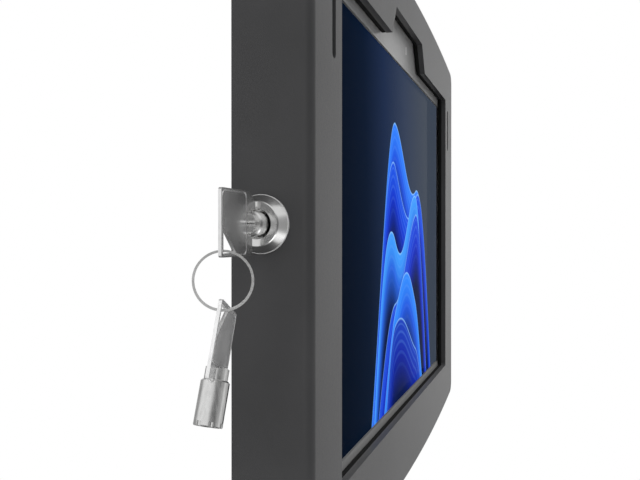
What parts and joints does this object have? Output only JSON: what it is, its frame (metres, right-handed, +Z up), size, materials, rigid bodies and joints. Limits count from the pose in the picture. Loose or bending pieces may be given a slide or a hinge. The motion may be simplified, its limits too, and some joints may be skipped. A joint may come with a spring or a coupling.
{
  "type": "tablet enclosure wall mount",
  "caption": "Locking steel enclosure that holds a tablet against a wall, with a window for the screen, a cam lock in its side wall and tubular keys on a ring",
  "frame": {"origin": "centre of the four wall holes, on the wall's surface", "axes": "+X to the right seen from the front, +Y into the wall, +Z up"},
  "size_m": [0.3874, 0.0289, 0.264],
  "materials": {
    "front_cover": "fine-textured satin powder coat",
    "back_plate": "fine-textured satin powder coat",
    "lower_cradle": "satin powder coat",
    "upper_cradle": "satin powder coat",
    "latch_keeper": "zinc plated",
    "cradle_rivets": "satin",
    "rear_pads": "closed-cell foam",
    "cable_grommet": "moulded",
    "front_gasket": "closed-cell foam",
    "tablet_housing": "bead blasted",
    "tablet_glass": "polished",
    "display_panel": "lit picture",
    "camera_lens": "polished",
    "sensor_window": "polished",
    "charge_port": "drawn",
    "power_button": "bead blasted",
    "volume_rocker": "bead blasted",
    "lock_housing": "satin nickel plate",
    "lock_nut": "zinc plated",
    "lock_plug": "turned",
    "lock_cam": "zinc plated",
    "cam_screw": "zinc plated",
    "lock_pins": "turned",
    "key_one_barrel": "satin nickel plate",
    "key_one_grip": "satin nickel plate",
    "key_ring": "polished",
    "key_two_barrel": "satin nickel plate",
    "key_two_grip": "satin nickel plate"
  },
  "bodies": {
    "wall_part": {"back_plate": "back_plate", "latch_keeper": "latch_keeper", "lower_cradle": "lower_cradle", "upper_cradle": "upper_cradle", "cradle_rivets": "cradle_rivets", "rear_pads": "rear_pads", "cable_grommet": "cable_grommet", "tablet_housing": "tablet_housing", "display_panel": "display_panel", "tablet_glass": "tablet_glass", "camera_lens": "camera_lens", "sensor_window": "sensor_window", "charge_port": "charge_port"},
    "cover": {"front_cover": "front_cover", "front_gasket": "front_gasket", "lock_housing": "lock_housing", "lock_nut": "lock_nut"},
    "lock_core": {"lock_plug": "lock_plug", "lock_cam": "lock_cam", "cam_screw": "cam_screw", "lock_pins": "lock_pins"},
    "key_one": {"key_one_barrel": "key_one_barrel", "key_one_grip": "key_one_grip"},
    "ring": {"key_ring": "key_ring"},
    "key_two": {"key_two_barrel": "key_two_barrel", "key_two_grip": "key_two_grip"},
    "power_key": {"power_button": "power_button"},
    "volume_key": {"volume_rocker": "volume_rocker"}
  },
  "joints": [
    {"name": "cover_swing", "type": "hinge", "parent": "wall_part", "child": "cover", "pos_m": [0.1711, -0.0064, 0], "axis": [0, 0, 1], "range_deg": [0, 45]},
    {"name": "lock_turn", "type": "hinge", "parent": "cover", "child": "lock_core", "pos_m": [-0.1726, -0.01123, 0.001], "axis": [-1, 0, 0], "range_deg": [0, 90]},
    {"name": "key_pull", "type": "slide", "parent": "lock_core", "child": "key_one", "axis": [-1, 0, 0], "range_m": [0, 0.016]},
    {"name": "ring_swing", "type": "hinge", "parent": "key_one", "child": "ring", "pos_m": [-0.2023, -0.01123, -0.0086], "axis": [0.9556, 0.2084, -0.2084], "range_deg": [-1, 94]},
    {"name": "spare_key_swing", "type": "hinge", "parent": "ring", "child": "key_two", "pos_m": [-0.2023, -0.01123, -0.02846], "axis": [-0.4163, 0.9092, 0], "range_deg": [-18, 20]},
    {"name": "power_press", "type": "slide", "parent": "wall_part", "child": "power_key", "axis": [0, 0, -1], "range_m": [0, 0.0004], "stiffness_N_per_m": 1000},
    {"name": "volume_press", "type": "slide", "parent": "wall_part", "child": "volume_key", "axis": [0, 0, -1], "range_m": [0, 0.0004], "stiffness_N_per_m": 1000}
  ],
  "couplings": [
    {"joint": "ring_swing", "follows": "lock_turn", "ratio": 1.0289}
  ]
}
